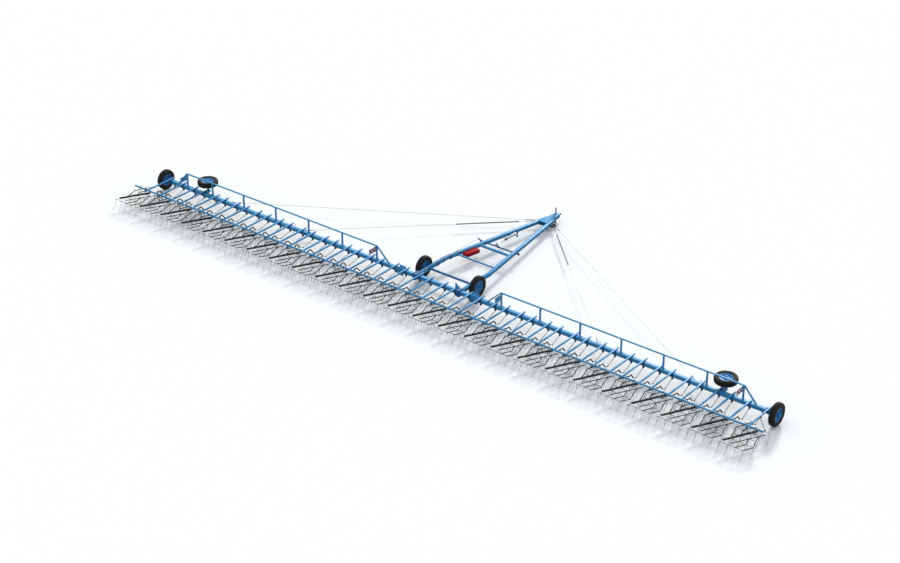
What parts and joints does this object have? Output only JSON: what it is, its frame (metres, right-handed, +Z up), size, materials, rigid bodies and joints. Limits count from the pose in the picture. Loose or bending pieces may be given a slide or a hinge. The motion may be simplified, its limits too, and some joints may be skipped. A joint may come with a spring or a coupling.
{
  "type": "trailed wing harrow",
  "caption": "Wide trailed grassland harrow: wheeled drawbar, rolling beam with two stayed wings, and a row of chain-pulled spring tine sections under a lift pipe.",
  "frame": {"origin": "on the ground under the middle of the machine's box", "axes": "+X along the beam to the right, +Y forward to the tractor, +Z up"},
  "size_m": [24.9458, 8.9064, 0.915],
  "materials": {
    "blue_paint": "satin gloss",
    "dark_blue_paint": "satin gloss",
    "black_steel": "satin",
    "bare_steel": "zinc plated",
    "chrome_rod": "polished",
    "red_paint": "satin gloss",
    "tyre_rubber": "matt"
  },
  "bodies": {
    "drawbar": {"drawbar_left_member": "blue_paint", "drawbar_right_member": "blue_paint", "drawbar_cross_tubes": "blue_paint", "drawbar_head": "blue_paint", "hitch_eye": "bare_steel", "beam_bearings": "dark_blue_paint", "centre_axle": "dark_blue_paint", "tool_box": "red_paint", "roll_cylinder_barrel": "black_steel"},
    "lid": {"tool_box_lid": "red_paint"},
    "cylinder_rod": {"roll_cylinder_rod": "chrome_rod"},
    "rocker": {"rock_shaft": "dark_blue_paint"},
    "link": {"link_rod": "blue_paint"},
    "jack": {"jack_leg": "bare_steel"},
    "beam": {"centre_beam": "blue_paint", "centre_lift_frame": "blue_paint", "centre_pull_chains": "black_steel"},
    "left_wing": {"left_wing_beam": "blue_paint", "left_truss": "blue_paint", "left_lift_frame": "blue_paint", "left_pull_chains": "black_steel", "left_marker_plates": "blue_paint"},
    "left_centre_wheel": {"left_centre_wheel": "tyre_rubber"},
    "left_end_wheel": {"left_end_wheel": "tyre_rubber"},
    "left_transport_wheel": {"left_transport_wheel": "tyre_rubber"},
    "left_stays": {"left_stays": "bare_steel"},
    "right_wing": {"right_wing_beam": "blue_paint", "right_truss": "blue_paint", "right_lift_frame": "blue_paint", "right_pull_chains": "black_steel", "right_marker_plates": "blue_paint"},
    "right_centre_wheel": {"right_centre_wheel": "tyre_rubber"},
    "right_end_wheel": {"right_end_wheel": "tyre_rubber"},
    "right_transport_wheel": {"right_transport_wheel": "tyre_rubber"},
    "right_stays": {"right_stays": "bare_steel"},
    "harrow_section_01": {"harrow_section_01": "black_steel"},
    "harrow_section_02": {"harrow_section_02": "black_steel"},
    "harrow_section_03": {"harrow_section_03": "black_steel"},
    "harrow_section_04": {"harrow_section_04": "black_steel"},
    "harrow_section_05": {"harrow_section_05": "black_steel"},
    "harrow_section_06": {"harrow_section_06": "black_steel"},
    "harrow_section_07": {"harrow_section_07": "black_steel"},
    "harrow_section_08": {"harrow_section_08": "black_steel"},
    "harrow_section_09": {"harrow_section_09": "black_steel"},
    "harrow_section_10": {"harrow_section_10": "black_steel"},
    "harrow_section_11": {"harrow_section_11": "black_steel"},
    "harrow_section_12": {"harrow_section_12": "black_steel"},
    "harrow_section_13": {"harrow_section_13": "black_steel"},
    "harrow_section_14": {"harrow_section_14": "black_steel"},
    "harrow_section_15": {"harrow_section_15": "black_steel"},
    "harrow_section_16": {"harrow_section_16": "black_steel"},
    "harrow_section_17": {"harrow_section_17": "black_steel"},
    "harrow_section_18": {"harrow_section_18": "black_steel"},
    "harrow_section_19": {"harrow_section_19": "black_steel"},
    "harrow_section_20": {"harrow_section_20": "black_steel"},
    "harrow_section_21": {"harrow_section_21": "black_steel"},
    "harrow_section_22": {"harrow_section_22": "black_steel"},
    "harrow_section_23": {"harrow_section_23": "black_steel"},
    "harrow_section_24": {"harrow_section_24": "black_steel"},
    "harrow_section_25": {"harrow_section_25": "black_steel"}
  },
  "joints": [
    {"name": "beam_roll", "type": "hinge", "parent": "drawbar", "child": "beam", "pos_m": [0, -2.22524, 0.36], "axis": [-1, 0, 0], "range_deg": [0, 90]},
    {"name": "rocker_turn", "type": "hinge", "parent": "drawbar", "child": "rocker", "pos_m": [0, 1.01476, 0.3107], "axis": [-1, 0, 0], "range_deg": [0, 90]},
    {"name": "link_swing", "type": "hinge", "parent": "rocker", "child": "link", "pos_m": [-0.7637, 0.85919, 0.46627], "axis": [-1, 0, 0], "range_deg": [-90, 0]},
    {"name": "cylinder_stroke", "type": "slide", "parent": "drawbar", "child": "cylinder_rod", "axis": [0, 1, 0], "range_m": [0, 0.21213]},
    {"name": "jack_lift", "type": "slide", "parent": "drawbar", "child": "jack", "axis": [0, 0, 1], "range_m": [0, 0.1]},
    {"name": "lid_open", "type": "hinge", "parent": "drawbar", "child": "lid", "pos_m": [-0.71252, -0.05364, 0.34697], "axis": [-0.1626, -0.9863, 0.0279], "range_deg": [0, 85]},
    {"name": "left_wing_flex", "type": "hinge", "parent": "beam", "child": "left_wing", "pos_m": [-1.5, -2.22524, 0.25], "axis": [0, 1, 0], "range_deg": [-3, 3]},
    {"name": "left_stays_swing", "type": "hinge", "parent": "drawbar", "child": "left_stays", "pos_m": [-0.33, 3.57476, 0.17817], "axis": [0, 1, 0], "range_deg": [-3, 3]},
    {"name": "left_centre_wheel_spin", "type": "hinge", "parent": "drawbar", "child": "left_centre_wheel", "pos_m": [-1.08, -1.58524, 0.36], "axis": [-1, 0, 0], "continuous": true},
    {"name": "left_end_wheel_spin", "type": "hinge", "parent": "left_wing", "child": "left_end_wheel", "pos_m": [-12.15, -2.22524, 0.36], "axis": [-1, 0, 0], "continuous": true},
    {"name": "left_transport_wheel_spin", "type": "hinge", "parent": "left_wing", "child": "left_transport_wheel", "pos_m": [-10.33, -1.97524, 0.7], "axis": [0, 0, 1], "continuous": true},
    {"name": "right_wing_flex", "type": "hinge", "parent": "beam", "child": "right_wing", "pos_m": [1.5, -2.22524, 0.25], "axis": [0, -1, 0], "range_deg": [-3, 3]},
    {"name": "right_stays_swing", "type": "hinge", "parent": "drawbar", "child": "right_stays", "pos_m": [0.33, 3.57476, 0.17817], "axis": [0, -1, 0], "range_deg": [-3, 3]},
    {"name": "right_centre_wheel_spin", "type": "hinge", "parent": "drawbar", "child": "right_centre_wheel", "pos_m": [1.08, -1.58524, 0.36], "axis": [-1, 0, 0], "continuous": true},
    {"name": "right_end_wheel_spin", "type": "hinge", "parent": "right_wing", "child": "right_end_wheel", "pos_m": [12.15, -2.22524, 0.36], "axis": [-1, 0, 0], "continuous": true},
    {"name": "right_transport_wheel_spin", "type": "hinge", "parent": "right_wing", "child": "right_transport_wheel", "pos_m": [10.33, -1.97524, 0.7], "axis": [0, 0, 1], "continuous": true},
    {"name": "section_01_float", "type": "hinge", "parent": "left_wing", "child": "harrow_section_01", "pos_m": [-12, -3.06024, 0.306], "axis": [-1, 0, 0], "range_deg": [-4, 6]},
    {"name": "section_02_float", "type": "hinge", "parent": "left_wing", "child": "harrow_section_02", "pos_m": [-11, -3.06024, 0.306], "axis": [-1, 0, 0], "range_deg": [-4, 6]},
    {"name": "section_03_float", "type": "hinge", "parent": "left_wing", "child": "harrow_section_03", "pos_m": [-10, -3.06024, 0.306], "axis": [-1, 0, 0], "range_deg": [-4, 6]},
    {"name": "section_04_float", "type": "hinge", "parent": "left_wing", "child": "harrow_section_04", "pos_m": [-9, -3.06024, 0.306], "axis": [-1, 0, 0], "range_deg": [-4, 6]},
    {"name": "section_05_float", "type": "hinge", "parent": "left_wing", "child": "harrow_section_05", "pos_m": [-8, -3.06024, 0.306], "axis": [-1, 0, 0], "range_deg": [-4, 6]},
    {"name": "section_06_float", "type": "hinge", "parent": "left_wing", "child": "harrow_section_06", "pos_m": [-7, -3.06024, 0.306], "axis": [-1, 0, 0], "range_deg": [-4, 6]},
    {"name": "section_07_float", "type": "hinge", "parent": "left_wing", "child": "harrow_section_07", "pos_m": [-6, -3.06024, 0.306], "axis": [-1, 0, 0], "range_deg": [-4, 6]},
    {"name": "section_08_float", "type": "hinge", "parent": "left_wing", "child": "harrow_section_08", "pos_m": [-5, -3.06024, 0.306], "axis": [-1, 0, 0], "range_deg": [-4, 6]},
    {"name": "section_09_float", "type": "hinge", "parent": "left_wing", "child": "harrow_section_09", "pos_m": [-4, -3.06024, 0.306], "axis": [-1, 0, 0], "range_deg": [-4, 6]},
    {"name": "section_10_float", "type": "hinge", "parent": "left_wing", "child": "harrow_section_10", "pos_m": [-3, -3.06024, 0.306], "axis": [-1, 0, 0], "range_deg": [-4, 6]},
    {"name": "section_11_float", "type": "hinge", "parent": "left_wing", "child": "harrow_section_11", "pos_m": [-2, -3.06024, 0.306], "axis": [-1, 0, 0], "range_deg": [-4, 6]},
    {"name": "section_12_float", "type": "hinge", "parent": "beam", "child": "harrow_section_12", "pos_m": [-1, -3.06024, 0.306], "axis": [-1, 0, 0], "range_deg": [-4, 6]},
    {"name": "section_13_float", "type": "hinge", "parent": "beam", "child": "harrow_section_13", "pos_m": [0, -3.06024, 0.306], "axis": [-1, 0, 0], "range_deg": [-4, 6]},
    {"name": "section_14_float", "type": "hinge", "parent": "beam", "child": "harrow_section_14", "pos_m": [1, -3.06024, 0.306], "axis": [-1, 0, 0], "range_deg": [-4, 6]},
    {"name": "section_15_float", "type": "hinge", "parent": "right_wing", "child": "harrow_section_15", "pos_m": [2, -3.06024, 0.306], "axis": [-1, 0, 0], "range_deg": [-4, 6]},
    {"name": "section_16_float", "type": "hinge", "parent": "right_wing", "child": "harrow_section_16", "pos_m": [3, -3.06024, 0.306], "axis": [-1, 0, 0], "range_deg": [-4, 6]},
    {"name": "section_17_float", "type": "hinge", "parent": "right_wing", "child": "harrow_section_17", "pos_m": [4, -3.06024, 0.306], "axis": [-1, 0, 0], "range_deg": [-4, 6]},
    {"name": "section_18_float", "type": "hinge", "parent": "right_wing", "child": "harrow_section_18", "pos_m": [5, -3.06024, 0.306], "axis": [-1, 0, 0], "range_deg": [-4, 6]},
    {"name": "section_19_float", "type": "hinge", "parent": "right_wing", "child": "harrow_section_19", "pos_m": [6, -3.06024, 0.306], "axis": [-1, 0, 0], "range_deg": [-4, 6]},
    {"name": "section_20_float", "type": "hinge", "parent": "right_wing", "child": "harrow_section_20", "pos_m": [7, -3.06024, 0.306], "axis": [-1, 0, 0], "range_deg": [-4, 6]},
    {"name": "section_21_float", "type": "hinge", "parent": "right_wing", "child": "harrow_section_21", "pos_m": [8, -3.06024, 0.306], "axis": [-1, 0, 0], "range_deg": [-4, 6]},
    {"name": "section_22_float", "type": "hinge", "parent": "right_wing", "child": "harrow_section_22", "pos_m": [9, -3.06024, 0.306], "axis": [-1, 0, 0], "range_deg": [-4, 6]},
    {"name": "section_23_float", "type": "hinge", "parent": "right_wing", "child": "harrow_section_23", "pos_m": [10, -3.06024, 0.306], "axis": [-1, 0, 0], "range_deg": [-4, 6]},
    {"name": "section_24_float", "type": "hinge", "parent": "right_wing", "child": "harrow_section_24", "pos_m": [11, -3.06024, 0.306], "axis": [-1, 0, 0], "range_deg": [-4, 6]},
    {"name": "section_25_float", "type": "hinge", "parent": "right_wing", "child": "harrow_section_25", "pos_m": [12, -3.06024, 0.306], "axis": [-1, 0, 0], "range_deg": [-4, 6]}
  ],
  "couplings": [
    {"joint": "rocker_turn", "follows": "beam_roll", "ratio": 1},
    {"joint": "link_swing", "follows": "beam_roll", "ratio": -1},
    {"joint": "cylinder_stroke", "follows": "beam_roll", "m_per_rad": 0.13505},
    {"joint": "left_stays_swing", "follows": "left_wing_flex", "ratio": 0.79},
    {"joint": "right_stays_swing", "follows": "right_wing_flex", "ratio": 0.79}
  ]
}
